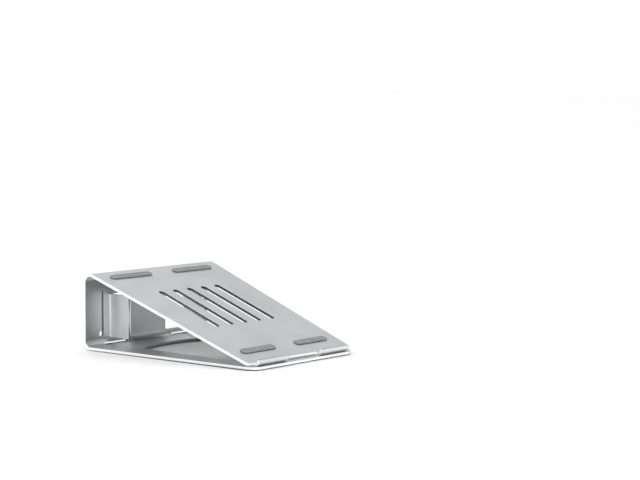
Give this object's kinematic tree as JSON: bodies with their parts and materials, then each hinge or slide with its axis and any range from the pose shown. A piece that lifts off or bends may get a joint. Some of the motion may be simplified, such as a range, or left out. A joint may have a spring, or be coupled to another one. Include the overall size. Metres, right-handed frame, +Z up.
{
  "type": "laptop stand",
  "caption": "Folded aluminium laptop stand with a sloping rest, a low notched front lip and a flat open base.",
  "frame": {"origin": "on the table, under the middle of the stand's outline", "axes": "+X to the right, +Y to the back, where the rear panel stands, and +Z up"},
  "size_m": [0.193, 0.2366, 0.0842],
  "materials": {
    "satin_aluminium": "fine satin blasted and clear anodised, with bright cut edges",
    "pad_silicone": "matt grey silicone",
    "foot_silicone": "matt translucent grey silicone"
  },
  "bodies": {
    "root": {"stand_plate": "satin_aluminium", "rest_pad_front_left": "pad_silicone", "rest_pad_front_right": "pad_silicone", "rest_pad_rear_left": "pad_silicone", "rest_pad_rear_right": "pad_silicone", "lip_pad_left": "pad_silicone", "lip_pad_right": "pad_silicone", "foot_front_left": "foot_silicone", "foot_front_right": "foot_silicone", "foot_rear_left": "foot_silicone", "foot_rear_right": "foot_silicone"}
  },
  "joints": []
}
